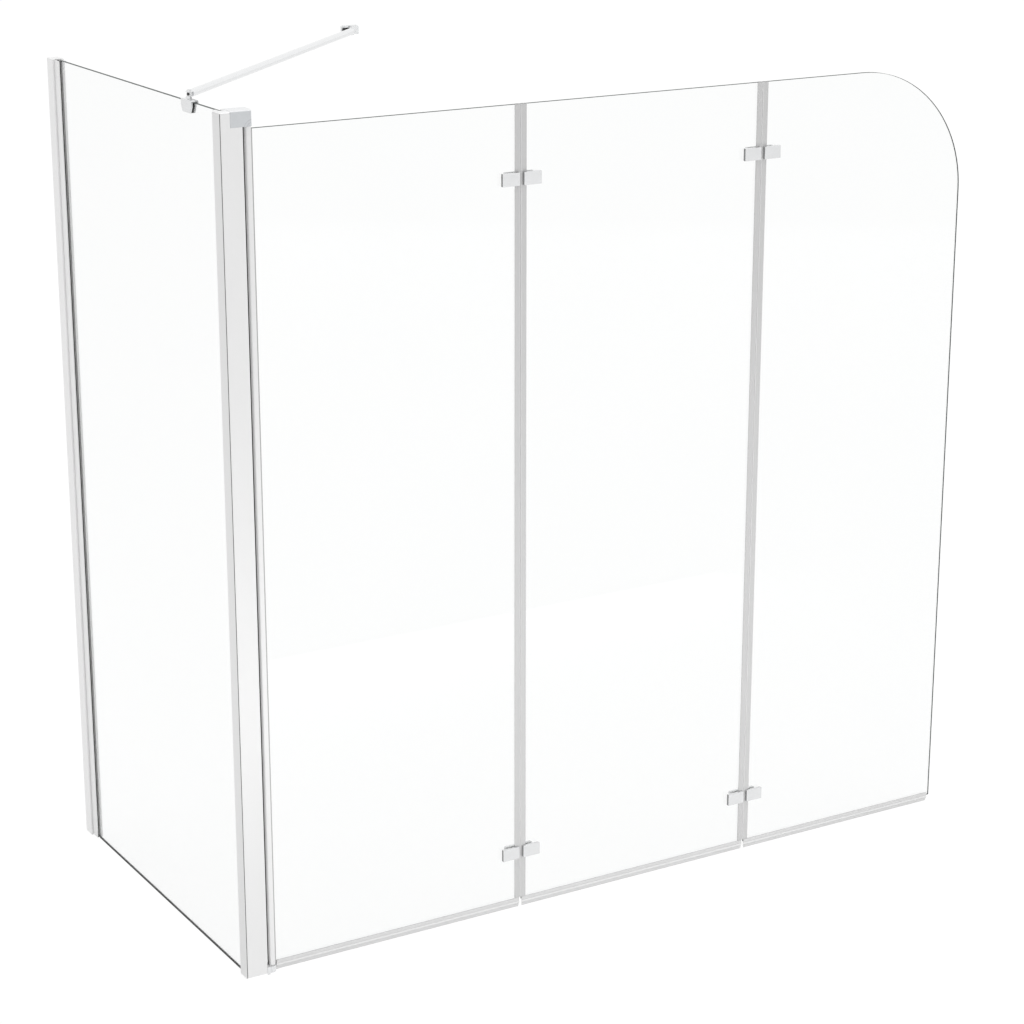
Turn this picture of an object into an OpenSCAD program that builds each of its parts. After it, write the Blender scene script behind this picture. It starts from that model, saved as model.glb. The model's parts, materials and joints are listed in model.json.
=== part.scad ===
// Bath enclosure for one corner of a bath: a fixed side glass between the wall and a corner
// post, a front of three glass panels that folds inwards, and a bar that steadies the side.
// Origin: centre of the post's foot on the bath rim. X runs along the front, Y into the bath
// towards the wall and Z up. Sizes are millimetres.

/* [Enclosure] */
// Height of the post and the wall profile above the bath rim
height = 1400; // [1300:10:1500]
// Depth of the fixed side, from the front face of the post to the wall
side_depth = 685; // [600:5:800]
// Thickness of all the glass
glass_t = 5; // [4.8:0.1:6]

/* [Corner post] */
// Width of the post along the front
post_w = 36; // [34:1:46]
// Depth of the post
post_d = 27; // [26:1:36]
// Wall of the post extrusion
post_wall = 1.8; // [1.4:0.1:2.2]
// Radius on the post's outer corners
post_r = 1.2; // [0.6:0.1:1.3]
// Side glass's mid plane, from the left face of the post and the wall profile
side_inset = 10; // [10:0.5:11]
// Depth of the pocket that takes the side glass
pocket_depth = 13; // [11:0.5:14]
// Wall round that pocket
pocket_wall = 1.5; // [1.2:0.1:1.8]
// Soft strip on each side of the side glass in the post
post_gasket_t = 1.25; // [1:0.05:1.4]
// Thickness of the post's top and foot caps
cap_t = 3; // [2:0.5:4]
// Length of the plugs that hold the caps in the post
cap_plug = 12; // [8:1:16]
// Width of the soft strip that closes the gap beside the pivot
strip_w = 5; // [3:0.5:5]
// Thickness of that strip's lip
strip_t = 2.6; // [2:0.1:3.2]

/* [Pivot] */
// Pivot axis, from the right face of the post
pivot_off = 11.5; // [11.3:0.1:13]
// Diameter of the pivot pins
pivot_pin_d = 4.5; // [4:0.1:4.6]
// Play of a pin in its hole, on the radius
pin_play = 0.05; // [0.02:0.01:0.09]
// Length of a pivot pin inside the pivot profile
pivot_pin_grip = 36; // [20:1:60]
// Height of the upper pivot block
block_h = 25; // [20:1:32]
// How far the upper block stands above the post
block_rise = 0.5; // [0.5:0.5:4]
// How far the upper block stands in front of the post
block_proud = 0.5; // [0.3:0.1:1.5]
// Reach of the upper block over the post, from the post's right face
block_over = 19.3; // [18:0.1:20]
// Reach of the upper block past the pivot axis
block_nose = 4.5; // [4:0.1:7]
// Radius on the upper block's free corners
block_r = 3.5; // [2:0.1:4]
// Length of the block's tongue inside the post
tongue_l = 25; // [18:1:40]
// Height of the lower block beside the post
foot_block_h = 13.5; // [12:0.5:20]
// Height of the lower block's round nose under the pivot
nose_h = 10.7; // [9:0.1:11]
// Radius of that nose about the pivot axis
nose_r = 9.2; // [8.6:0.1:9.3]
// Free height above and below the pivot profile
pivot_gap = 0.5; // [0.3:0.1:1]

/* [Pivot profile] */
// Back of the profile, from the pivot axis
profile_back = 3.5; // [3.5:0.1:3.7]
// Depth of the profile
profile_d = 12; // [11.6:0.1:12.4]
// Radius on its back corners
profile_r = 3.3; // [3.1:0.1:3.4]
// Wall between the pin hole and the glass slot
profile_web = 1; // [0.8:0.1:1.2]
// Grip of the front flange on the glass
front_flange = 2.4; // [2:0.1:3]
// Grip of the inner flange on the glass
inner_flange = 6; // [4:0.1:6]
// Reach of the soft gasket's lip past the front flange
gasket_lip = 3; // [1:0.1:3.4]

/* [Front panels] */
// From the pivot axis to the first folding joint
panel_1_w = 469.5; // [380:0.5:520]
// From the first folding joint to the second
panel_2_w = 463; // [360:1:520]
// From the second folding joint to the free edge
panel_3_w = 426; // [360:1:520]
// Gap between the edges of two glasses
glass_gap = 8; // [7.8:0.1:9]
// Height of the front glass's lower edge above the rim
front_foot = 11.2; // [11.2:0.1:13]
// Distance of the front glass's top below the post's top
front_drop = 29; // [28:1:60]
// Radius of the rounded top corner of the third glass
corner_r = 218; // [50:1:300]

/* [Hinges] */
// Width of an outer hinge plate
plate_w = 32; // [28:1:40]
// Width of an inner hinge leaf
leaf_w = 22; // [20:1:28]
// Height of the plates and leaves
plate_h = 21; // [18:1:30]
// Thickness of the plates and leaves
plate_t = 5; // [4:0.1:6]
// Radius on the plates' corners
plate_r = 0.8; // [0.3:0.1:2]
// Gap between the two plates of a hinge
plate_gap = 7.5; // [7:0.1:8]
// Soft pad between plate and glass
plate_pad = 1; // [0.6:0.1:1.5]
// Height of the lower hinges' middle above the rim
hinge_low = 103; // [70:1:300]
// Distance of the upper hinges' middle below the top of the glass
hinge_high = 117; // [70:1:300]
// Diameter of the hinge pins
hinge_pin_d = 3.5; // [3:0.1:4]
// Radius of the hinge knuckles
knuckle_r = 4.2; // [3.8:0.1:4.4]
// Half of the gap between the two inner leaves when a hinge is folded shut
leaf_clear = 0.5; // [0.4:0.1:1]
// Gap between knuckles, and between a seal and a hinge
knuckle_gap = 0.3; // [0.2:0.05:0.5]
// Diameter of the hinge screws
hinge_screw_d = 4; // [3:0.1:5]
// Diameter of their countersunk heads
hinge_head_d = 7.2; // [6.5:0.1:9]
// Height of those heads
hinge_head_h = 2.2; // [1.8:0.1:2.8]
// Metal left in front of the screws in the outer plate
hinge_skin = 1; // [0.5:0.1:1.5]
// Width of the upright slots in the glass for those screws
glass_hole_d = 8; // [6:0.5:10]
// Distance between the two screws of a plate, one above the other
screw_pitch = 10; // [9:0.5:11]

/* [Seals] */
// Wall of the clear seals
seal_wall = 1; // [0.8:0.05:1.2]
// Width of one half of an upright seal
seal_w = 10.5; // [9:0.1:14]
// Gap between the two halves
seal_split = 0.3; // [0.3:0.05:0.8]
// How much shorter an upright seal's inner leg is than its outer one
upright_back = 3.5; // [1:0.1:4]
// Height of the lower seals
foot_seal_h = 17.4; // [17:0.1:26]
// How much lower their inner leg is than their outer one
foot_back = 2; // [0.5:0.1:3]
// Half width of the lower seals' body
foot_seal_half = 4.2; // [3.8:0.1:4.6]
// Height of that body below the glass
foot_seal_body = 4; // [3:0.1:5]
// Thickness of the wiping lip under it
foot_lip_t = 1.4; // [1:0.1:2]
// Gap between two lower seals at a joint
foot_seal_gap = 4; // [2:0.5:6]
// Distance of the last lower seal from the free edge
foot_seal_end = 6; // [2:0.5:12]

/* [Wall side] */
// Width of the wall profile
wall_profile_w = 20; // [19:0.5:20]
// Depth of the wall profile
wall_profile_d = 25; // [22:1:32]
// Wall of both profiles
wall_profile_wall = 1.6; // [1.3:0.1:1.8]
// Thickness of the wall profile's back
wall_profile_back = 2; // [1.5:0.1:3]
// Width of the adjusting profile that slides in it
adjust_w = 13.6; // [13:0.1:14.4]
// How far the adjusting profile stands out of the wall profile
adjust_out = 20; // [16:1:30]
// How far it reaches inside
adjust_in = 20; // [16:0.5:20]
// Free play between the two profiles
adjust_play = 0.2; // [0.1:0.05:0.4]
// Depth of the adjusting profile's glass slot
wall_slot = 13; // [10:0.5:15]
// Thickness of the wall profile's end caps
wall_cap_t = 1.6; // [1:0.1:3]
// Height of the side glass's lower edge above the rim
side_foot = 3.3; // [3.2:0.1:5]
// Width of the dark strip that seals under the side glass
foot_strip_w = 5; // [3:0.5:6]
// Distance of the side glass's top below the post's top
side_drop = 1; // [0.5:0.1:6]
// Bottom of a glass slot's soft liner
liner_base = 1.2; // [0.8:0.1:2]
// Distance between the outer pair of wall screws
wall_holes_outer = 1200; // [1000:10:1240]
// Distance between the inner pair of wall screws
wall_holes_inner = 400; // [200:10:600]
// Diameter of the holes for them
wall_hole_d = 5; // [4:0.1:6]
// Distance of the outer adjusting screws from the ends
adjust_screw_end = 120; // [60:10:300]
// Diameter of the adjusting screws and block screws
small_screw_d = 3.5; // [3:0.1:4]
// Diameter of their pan heads
small_head_d = 7; // [6:0.1:8]
// Height of their pan heads
small_head_h = 2.2; // [1.8:0.1:3]

/* [Stabiliser bar] */
// Diameter of the bar
bar_d = 12; // [11:0.5:14]
// Wall of the bar's tube
bar_wall = 1.2; // [0.8:0.1:2]
// Height of the bar's axis above the post's top
bar_rise = 10; // [9.5:0.5:14]
// Clamp on the side glass, from the post's middle
clamp_y = 114.5; // [80:0.5:400]
// Wall bracket's pivot, from the post's middle along the wall
bracket_x = 542; // [250:1:700]
// Distance of that pivot from the wall
bracket_out = 22; // [20:0.5:30]
// Length of the clamp along the glass
clamp_l = 38; // [30:1:44]
// Height of the clamp
clamp_h = 19.5; // [18:0.5:26]
// Wall of the clamp on each side of the glass
clamp_wall = 2.5; // [2:0.1:3.5]
// Soft pads between the clamp and the glass
clamp_pad = 1; // [0.6:0.1:1.4]
// Top of the clamp above the post's top
clamp_rise = 2; // [1.5:0.1:3]
// Diameter of the swivel screws
swivel_d = 4; // [3:0.1:5]
// Height of the slot in the bar's end forks
fork_slot = 6.4; // [5:0.1:7]
// Diameter of the dark bush in a fork
bush_d = 8; // [7:0.1:10]
// Length of a fork's plug in the bar
fork_plug = 16; // [10:1:30]
// Width of the wall bracket's block
bracket_w = 14; // [12:0.5:18]
// Height of the wall bracket's block
bracket_h = 14.5; // [12:0.5:18]
// Depth of the wall bracket's block
bracket_d = 10; // [8:0.5:14]
// Length of the wall bracket's plate
bracket_plate_l = 32; // [30:1:44]
// Height of the wall bracket's plate
bracket_plate_h = 16; // [14.5:0.5:22]
// Thickness of the wall bracket's plate
bracket_plate_t = 3; // [2:0.5:4]

/* [Hidden] */
$fn = 48;

// What the drawing colours stand for
aluminium_colour = [0.90, 0.90, 0.91];
chrome_colour = [0.86, 0.87, 0.88];
steel_colour = [0.72, 0.73, 0.75];
glass_colour = [0.80, 0.88, 0.88, 0.35];
seal_colour = [0.78, 0.78, 0.79];
block_colour = [0.76, 0.78, 0.79];
white_colour = [0.95, 0.95, 0.95];
dark_colour = [0.15, 0.15, 0.16];

// A little more than the face that a cut leaves by
cut = 1;
// A plug's free play in the hollow that it fills
plug_play = 0.2;

// Places along the front
post_right = post_w / 2;
pivot_x = post_right + pivot_off;
joint_1_x = pivot_x + panel_1_w;
joint_2_x = joint_1_x + panel_2_w;
free_edge_x = joint_2_x + panel_3_w;

// Pivot profile: pin hole, glass slot and flanges, along X
pin_hole_r = pivot_pin_d / 2 + pin_play;
slot_x = pivot_x + pin_hole_r + profile_web;
slot_half = glass_t / 2 + plate_pad;
glass_1_x = slot_x + plate_pad;
flange_end_x = slot_x + front_flange;
inner_end_x = slot_x + inner_flange;

// Heights
front_top = height - front_drop;
block_z = height + block_rise - block_h;
post_top = height - cap_t;
hinge_heights = [hinge_low, front_top - hinge_high];

// Side glass: mid plane, and its two ends along Y
side_x = side_inset - post_w / 2;
pocket_half = glass_t / 2 + post_gasket_t;
pocket_y = post_d / 2 - pocket_depth;
wall_y = side_depth - post_d / 2;
wall_profile_y = wall_y - wall_profile_d;
adjust_y = wall_profile_y - adjust_out;
adjust_half = adjust_w / 2 - wall_profile_wall;
side_glass_y0 = pocket_y + liner_base;
side_glass_y1 = adjust_y + wall_slot - liner_base;
side_top = height - side_drop;

// Hinges
hinge_pin_y = glass_t / 2 + plate_pad + plate_t + leaf_clear;
knuckle_h = plate_h / 3;
plate_mid = plate_gap / 2 + plate_w / 2;
leaf_mid = plate_gap / 2 + leaf_w / 2;
foot_end_l = (glass_gap - foot_seal_gap) / 2;
// Extra room that a leaf leaves round the other leaf's knuckle
knuckle_room = 0.4;

// Stabiliser bar
bar_z = height + bar_rise;
bracket_y = wall_y - bracket_out;
bar_angle = atan2(bracket_y - clamp_y, bracket_x - side_x);
bar_l = norm([bracket_x - side_x, bracket_y - clamp_y]);
fork_r = bar_d / 2;
swivel_r = swivel_d / 2;
swivel_hole_r = swivel_r + pin_play;
clamp_top = height + clamp_rise;
clamp_half = glass_t / 2 + clamp_pad + clamp_wall;

// Soft strip and lower block stay clear of the profile's back corners as they swing
back_corner = norm([profile_back - profile_r, profile_d / 2 - profile_r]) + profile_r;
strip_end_x = min(post_right + strip_w, pivot_x - back_corner - 0.3);

// Rectangle with four round corners, about the origin
module rounded_rect(w, d, r) {
    square([w - 2 * r, d], center = true);
    square([w, d - 2 * r], center = true);
    for (x = [-1, 1], y = [-1, 1])
        translate([x * (w / 2 - r), y * (d / 2 - r)]) circle(r);
}

// Rectangle between two corners
module rect(x0, x1, y0, y1) {
    translate([x0, y0]) square([x1 - x0, y1 - y0]);
}

// Upright block between two heights, over a plan
module upright(z0, z1) {
    translate([0, 0, z0]) linear_extrude(z1 - z0) children();
}

// Shape drawn in X and Z, and given a thickness between two places along Y
module standing(y0, y1) {
    translate([0, y1, 0]) rotate([90, 0, 0]) linear_extrude(y1 - y0) children();
}

// Round bar along Y, between two places
module bar_y(x, z, y0, y1, r) {
    translate([x, y1, z]) rotate([90, 0, 0]) cylinder(h = y1 - y0, r = r);
}

// Pan head screw along Y: shank from y0 to y1, head beyond y1
module pan_screw_y(x, z, y0, y1) {
    difference() {
        union() {
            bar_y(x, z, y0, y1, small_screw_d / 2);
            bar_y(x, z, y1, y1 + small_head_h, small_head_d / 2);
        }
        bar_y(x, z, y1 + small_head_h / 2, y1 + small_head_h + cut, small_screw_d / 3);
    }
}

// Corner post: a hollow extrusion with a pocket for the side glass and a groove for a strip
strip_groove_half = 3;
strip_groove_d = 2.6;
strip_mouth_half = strip_t / 2 + 0.2;
post_inner_x = post_w / 2 - post_wall;
post_inner_y = post_d / 2 - post_wall;
groove_x = post_inner_x - strip_groove_d;
tongue_x1 = groove_x - pocket_wall - plug_play;
notch_x = post_right - block_over;
tongue_half = post_inner_y - plug_play;
foot_tongue_x = tongue_x1 - 1;
foot_tongue_half = 8;
foot_screw_x = (foot_tongue_x + post_right) / 2;
foot_screw_z = (cap_t + foot_block_h) / 2;
top_screw_x = (notch_x + tongue_x1) / 2;
top_screw_z = block_z - tongue_l / 2;

module post_plan() {
    difference() {
        rounded_rect(post_w, post_d, post_r);
        difference() {
            square([2 * post_inner_x, 2 * post_inner_y], center = true);
            rect(side_x - pocket_half - pocket_wall, side_x + pocket_half + pocket_wall,
                pocket_y - pocket_wall, post_d);
            rect(groove_x - pocket_wall, post_w,
                -strip_groove_half - pocket_wall, strip_groove_half + pocket_wall);
        }
        rect(side_x - pocket_half, side_x + pocket_half, pocket_y, post_d);
        rect(groove_x, post_inner_x, -strip_groove_half, strip_groove_half);
        rect(groove_x, post_w, -strip_mouth_half, strip_mouth_half);
    }
}

module corner_post() {
    color(aluminium_colour) difference() {
        upright(cap_t, post_top) post_plan();
        // Notch for the upper block
        upright(block_z, height + cut) rect(notch_x, post_w, -post_d, post_d);
        // Window for the lower block's tongue
        upright(0, foot_block_h + plug_play)
            rect(foot_tongue_x - plug_play, post_w,
                -foot_tongue_half - plug_play, foot_tongue_half + plug_play);
        bar_y(foot_screw_x, foot_screw_z, 0, post_d, small_screw_d / 2 + pin_play);
        bar_y(top_screw_x, top_screw_z, 0, post_d, small_screw_d / 2 + pin_play);
    }
}

module post_top_cap() {
    color(white_colour) {
        upright(post_top, height) difference() {
            rounded_rect(post_w, post_d, post_r);
            rect(notch_x - pin_play, post_w, -post_d, post_d);
            rect(side_x - pocket_half, side_x + pocket_half, pocket_y, post_d);
        }
        upright(post_top - cap_plug, post_top)
            rect(plug_play - post_inner_x, notch_x - cut,
                plug_play - post_inner_y, pocket_y - pocket_wall - plug_play);
    }
}

module post_foot_cap() {
    color(white_colour) {
        upright(0, cap_t) rounded_rect(post_w, post_d, post_r);
        upright(cap_t, cap_t + cap_plug)
            rect(side_x + pocket_half + pocket_wall + plug_play, foot_tongue_x - 2 * plug_play,
                plug_play - post_inner_y, post_inner_y - plug_play);
    }
}

module post_seal_strip() {
    color(seal_colour) upright(foot_block_h + plug_play, block_z) {
        rect(groove_x, post_inner_x, -strip_groove_half, strip_groove_half);
        rect(groove_x, strip_end_x - strip_t / 2, -strip_t / 2, strip_t / 2);
        translate([strip_end_x - strip_t / 2, 0]) circle(strip_t / 2);
    }
}

// Soft liner of the post's pocket: a U round the glass's edge
module post_glass_liner() {
    color(seal_colour) upright(cap_t, side_top) translate([side_x, 0]) {
        for (s = [-1, 1]) mirror([s > 0 ? 0 : 1, 0])
            rect(glass_t / 2, pocket_half, pocket_y, post_d / 2);
        rect(-pocket_half, pocket_half, pocket_y, side_glass_y0);
    }
}

// Upper block: holds the top pin and closes the top of the post
block_x1 = pivot_x + block_nose;
block_y0 = -post_d / 2 - block_proud;
// Metal left above the pin's blind hole
block_roof = 6;

module upper_block_plan() {
    rect(notch_x, block_x1 - block_r, block_y0, post_d / 2);
    rect(notch_x, block_x1, block_y0 + block_r, post_d / 2 - block_r);
    for (y = [block_y0 + block_r, post_d / 2 - block_r])
        translate([block_x1 - block_r, y]) circle(block_r);
}

module upper_pivot_block() {
    color(block_colour) difference() {
        union() {
            upright(block_z, height + block_rise) upper_block_plan();
            upright(block_z - tongue_l, block_z)
                rect(notch_x + plug_play, tongue_x1, -tongue_half, tongue_half);
        }
        translate([pivot_x, 0, block_z - cut])
            cylinder(h = block_h - block_roof + cut, d = pivot_pin_d);
        bar_y(top_screw_x, top_screw_z, 0, post_d, small_screw_d / 2 + pin_play);
    }
}

// Lower block: a foot beside the post and a round nose under the pivot
foot_side_x = strip_end_x;
nose_half = nose_r - 0.4;
// Floor left under the pin's blind hole
block_floor = 2;

module lower_pivot_block() {
    color(block_colour) difference() {
        union() {
            upright(0, foot_block_h) rect(post_right, foot_side_x, -post_d / 2, post_d / 2);
            upright(0, nose_h) {
                rect(post_right, pivot_x, -nose_half, nose_half);
                translate([pivot_x, 0]) circle(nose_r);
            }
            upright(cap_t, foot_block_h)
                rect(foot_tongue_x, post_right, -foot_tongue_half, foot_tongue_half);
        }
        translate([pivot_x, 0, block_floor]) cylinder(h = nose_h, d = pivot_pin_d);
        bar_y(foot_screw_x, foot_screw_z, 0, post_d, small_screw_d / 2 + pin_play);
    }
}

module pivot_block_screws() {
    color(steel_colour) {
        pan_screw_y(foot_screw_x, foot_screw_z, cut, post_d / 2);
        pan_screw_y(top_screw_x, top_screw_z, cut, post_d / 2);
    }
}

module pivot_pins() {
    color(steel_colour) {
        translate([pivot_x, 0, 0])
            upright(block_floor, front_foot + pivot_pin_grip) circle(d = pivot_pin_d);
        translate([pivot_x, 0, block_z])
            upright(-pivot_gap - pivot_pin_grip, block_h - block_roof) circle(d = pivot_pin_d);
    }
}

module side_glass() {
    color(glass_colour) upright(side_foot, side_top)
        rect(side_x - glass_t / 2, side_x + glass_t / 2, side_glass_y0, side_glass_y1);
}

// Wall profile: a channel screwed to the wall, with lips at its mouth
wall_holes = [for (p = [wall_holes_outer, wall_holes_inner], i = [-0.5, 0.5])
    height / 2 + i * p];
adjust_screws = [adjust_screw_end, height / 2 + adjust_screw_end / 2,
    height - adjust_screw_end];
adjust_back_y = wall_profile_y + adjust_in;
adjust_screw_y = (wall_profile_y + adjust_back_y) / 2;
// Inner side of the wall profile, where the adjusting screws' heads sit
wall_inner_x = side_x - side_inset + wall_profile_w;
wall_mid_x = side_x - side_inset + wall_profile_w / 2;

module wall_profile() {
    color(aluminium_colour) difference() {
        upright(wall_cap_t, height - wall_cap_t) difference() {
            translate([wall_mid_x, (wall_profile_y + wall_y) / 2])
                rounded_rect(wall_profile_w, wall_profile_d, 0.5);
            rect(wall_mid_x - wall_profile_w / 2 + wall_profile_wall,
                wall_inner_x - wall_profile_wall,
                wall_profile_y + wall_profile_wall, wall_y - wall_profile_back);
            rect(side_x - adjust_w / 2 - adjust_play, side_x + adjust_w / 2 + adjust_play,
                wall_profile_y - cut, wall_profile_y + wall_profile_d / 2);
        }
        for (z = wall_holes) bar_y(side_x, z, adjust_back_y, wall_y + cut, wall_hole_d / 2);
        for (z = adjust_screws) adjusting_hole(z);
    }
}

module adjusting_hole(z) {
    translate([side_x, adjust_screw_y, z]) rotate([0, 90, 0])
        cylinder(h = wall_profile_w, r = small_screw_d / 2 + pin_play);
}

module adjusting_profile() {
    color(aluminium_colour) difference() {
        upright(wall_cap_t, height - wall_cap_t) difference() {
            rect(side_x - adjust_w / 2, side_x + adjust_w / 2, adjust_y, adjust_back_y);
            rect(side_x - adjust_half, side_x + adjust_half, adjust_y - cut,
                adjust_y + wall_slot);
            rect(side_x - adjust_half, side_x + adjust_half,
                adjust_y + wall_slot + wall_profile_wall, adjust_back_y + cut);
        }
        for (z = adjust_screws) adjusting_hole(z);
    }
}

module wall_profile_caps() {
    color(white_colour)
        for (ends = [[0, wall_cap_t, wall_cap_t + cap_plug],
                [height - wall_cap_t, height, height - wall_cap_t - cap_plug]]) {
            upright(ends[0], ends[1])
                translate([wall_mid_x, (wall_profile_y + wall_y) / 2])
                    rounded_rect(wall_profile_w, wall_profile_d, 0.5);
            upright(min(ends[1], ends[2]), max(ends[0], ends[2]))
                rect(side_x - adjust_half + plug_play, side_x + adjust_half - plug_play,
                    wall_profile_y + cut, adjust_back_y);
        }
}

module wall_glass_liner() {
    color(seal_colour) upright(wall_cap_t, side_top) translate([side_x, 0]) {
        rect(glass_t / 2, adjust_half, adjust_y, adjust_y + wall_slot);
        rect(-adjust_half, adjust_half, side_glass_y1, adjust_y + wall_slot);
    }
}

module wall_outer_gasket() {
    color(dark_colour) upright(wall_cap_t, side_top) translate([side_x, 0])
        rect(-adjust_half, -glass_t / 2, adjust_y, side_glass_y1);
}

// Dark strip that seals the side glass's foot on the bath rim
module side_foot_strip() {
    color(dark_colour) upright(0, side_foot)
        rect(side_x - foot_strip_w / 2, side_x + foot_strip_w / 2, post_d / 2, adjust_y);
}

module adjusting_screws() {
    color(steel_colour) for (z = adjust_screws) translate([0, adjust_screw_y, z])
        rotate([0, 90, 0]) difference() {
            union() {
                translate([0, 0, side_x + adjust_half - cut])
                    cylinder(h = wall_inner_x - side_x - adjust_half + cut, d = small_screw_d);
                translate([0, 0, wall_inner_x]) cylinder(h = small_head_h, d = small_head_d);
            }
            translate([0, 0, wall_inner_x + small_head_h / 2])
                cylinder(h = small_head_h, d = small_screw_d / 2);
        }
}

// Places its children at one end of the bar, with X along the bar away from that end
module at_clamp() {
    translate([side_x, clamp_y, bar_z]) rotate([0, 0, bar_angle]) children();
}

module at_bracket() {
    translate([bracket_x, bracket_y, bar_z]) rotate([0, 0, bar_angle + 180]) children();
}

module stabiliser_bar() {
    color(chrome_colour) at_clamp() translate([fork_r, 0, 0]) rotate([0, 90, 0])
        difference() {
            cylinder(h = bar_l - 2 * fork_r, d = bar_d);
            translate([0, 0, -cut])
                cylinder(h = bar_l - 2 * fork_r + 2 * cut, d = bar_d - 2 * bar_wall);
        }
}

// Flat seats on both sides of a fork, for a screw's head, a nut or the clamp's neck
seat_z = fork_r - 1;
seat_r = 3.8;

// Fork on each end of the bar, with its slot open away from the bar
module end_fork() {
    difference() {
        union() {
            translate([0, 0, -fork_r]) intersection() {
                union() {
                    cylinder(h = 2 * fork_r, r = fork_r - 0.3);
                    translate([0, 0.3 - fork_r, 0])
                        cube([fork_r, 2 * fork_r - 0.6, 2 * fork_r]);
                }
                translate([-fork_r, 0, fork_r]) rotate([0, 90, 0])
                    cylinder(h = 2 * fork_r, r = fork_r);
            }
            translate([fork_r - 0.01, 0, 0]) rotate([0, 90, 0])
                cylinder(h = fork_plug, d = bar_d - 2 * bar_wall - 2 * pin_play);
        }
        translate([-2 * fork_r, -bar_d, -fork_slot / 2])
            cube([2 * fork_r + bush_d / 2, 2 * bar_d, fork_slot]);
        translate([0, 0, -bar_d]) cylinder(h = 2 * bar_d, r = swivel_hole_r);
        translate([0, 0, seat_z]) cylinder(h = bar_d, r = seat_r);
        translate([0, 0, -seat_z - bar_d]) cylinder(h = bar_d, r = seat_r);
    }
}

module bar_end_forks() {
    color(chrome_colour) {
        at_clamp() end_fork();
        at_bracket() end_fork();
    }
}

// Bush at the clamp, and one round the bracket's screw on each side of its tongue
tongue_t = fork_slot / 2;
bush_play = 0.1;
bush_r = bush_d / 2 - bush_play;

module ring(r_out, r_in, z0, z1) {
    upright(z0, z1) difference() {
        circle(r_out);
        circle(r_in);
    }
}

module bar_swivel_bushes() {
    color(dark_colour) {
        at_clamp() ring(bush_r, swivel_hole_r, -fork_slot / 2, fork_slot / 2);
        at_bracket() {
            ring(bush_r, swivel_hole_r, tongue_t / 2, fork_slot / 2);
            ring(bush_r, swivel_hole_r, -fork_slot / 2, -tongue_t / 2);
        }
    }
}

// Swivel screws: the clamp's goes down into the clamp, the bracket's has a nut end
swivel_head_h = 1.6;
swivel_head_r = 3.4;

module swivel_screw(low) {
    upright(low, seat_z) circle(swivel_r);
    upright(seat_z, seat_z + swivel_head_h) difference() {
        circle(swivel_head_r);
        circle(swivel_r / 2);
    }
}

module bar_swivel_screws() {
    color(chrome_colour) {
        at_clamp() swivel_screw(clamp_top - bar_z - clamp_thread);
        at_bracket() {
            swivel_screw(-seat_z);
            upright(-seat_z - swivel_head_h, -seat_z) circle(swivel_head_r);
        }
    }
}

// Clamp: a cap over the glass's edge, drawn in Y and Z with its top edge at zero
clamp_taper = 4;
clamp_shoulder = clamp_h * 0.45;
clamp_corner_r = 3.5;
clamp_thread = 1.6;
neck_r = 3.6;
grub_d = 4;
grub_z = clamp_top - clamp_h * 0.6;

function arc(x, y, r, from, to, steps = 8) =
    [for (i = [0:steps]) let (a = from + (to - from) * i / steps)
        [x + r * cos(a), y + r * sin(a)]];

module clamp_outline() {
    half = clamp_l / 2;
    foot = half - clamp_taper;
    polygon(concat(
        arc(half - 1.5, -1.5, 1.5, 0, 90),
        arc(1.5 - half, -1.5, 1.5, 90, 180),
        [[-half, -clamp_shoulder]],
        arc(clamp_corner_r - foot, clamp_corner_r - clamp_h, clamp_corner_r, 195, 270),
        arc(foot - clamp_corner_r, clamp_corner_r - clamp_h, clamp_corner_r, 270, 345),
        [[half, -clamp_shoulder]]));
}

// Shape drawn in Y and Z, and given a thickness along X
module facing_side(x0, x1) {
    translate([x0, clamp_y, clamp_top]) rotate([90, 0, 90]) linear_extrude(x1 - x0) children();
}

module bar_glass_clamp() {
    color(chrome_colour) difference() {
        union() {
            facing_side(side_x - clamp_half, side_x + clamp_half) clamp_outline();
            translate([side_x, clamp_y, clamp_top - cut])
                cylinder(h = bar_z - seat_z - clamp_top + cut, r = neck_r);
        }
        translate([side_x - clamp_half + clamp_wall, clamp_y - clamp_l, clamp_top - clamp_h - cut])
            cube([glass_t + 2 * clamp_pad, 2 * clamp_l,
                clamp_h + cut + side_top - clamp_top + clamp_roof_play]);
        translate([side_x, clamp_y, clamp_top - clamp_thread])
            cylinder(h = bar_z, r = swivel_hole_r);
        translate([side_x, clamp_y, grub_z]) rotate([0, 90, 0])
            cylinder(h = clamp_l, d = grub_d + 2 * pin_play);
    }
}

clamp_roof_play = 0.3;

module bar_clamp_pads() {
    color(dark_colour) for (x = [side_x - glass_t / 2 - clamp_pad, side_x + glass_t / 2])
        facing_side(x, x + clamp_pad) intersection() {
            clamp_outline();
            translate([0, side_top - clamp_top - clamp_h / 2]) square([clamp_l, clamp_h],
                center = true);
        }
}

module bar_clamp_grub_screw() {
    color(steel_colour) translate([side_x + glass_t / 2 + clamp_pad, clamp_y, grub_z])
        rotate([0, 90, 0]) difference() {
            cylinder(h = clamp_wall, d = grub_d);
            translate([0, 0, clamp_wall / 2]) cylinder(h = clamp_wall, d = grub_d / 2);
        }
}

// Wall bracket: a plate on the wall with a block and a tongue for the bar's fork
bracket_shift = 13;
bracket_block_x = bracket_x + bracket_shift;
bracket_screw_shift = 15;
bracket_screw_x = bracket_block_x - bracket_screw_shift;
bracket_screw_r = 2.2;
bracket_cap = [14, 8, 3.5];
bracket_cap_t = 1;

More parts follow.
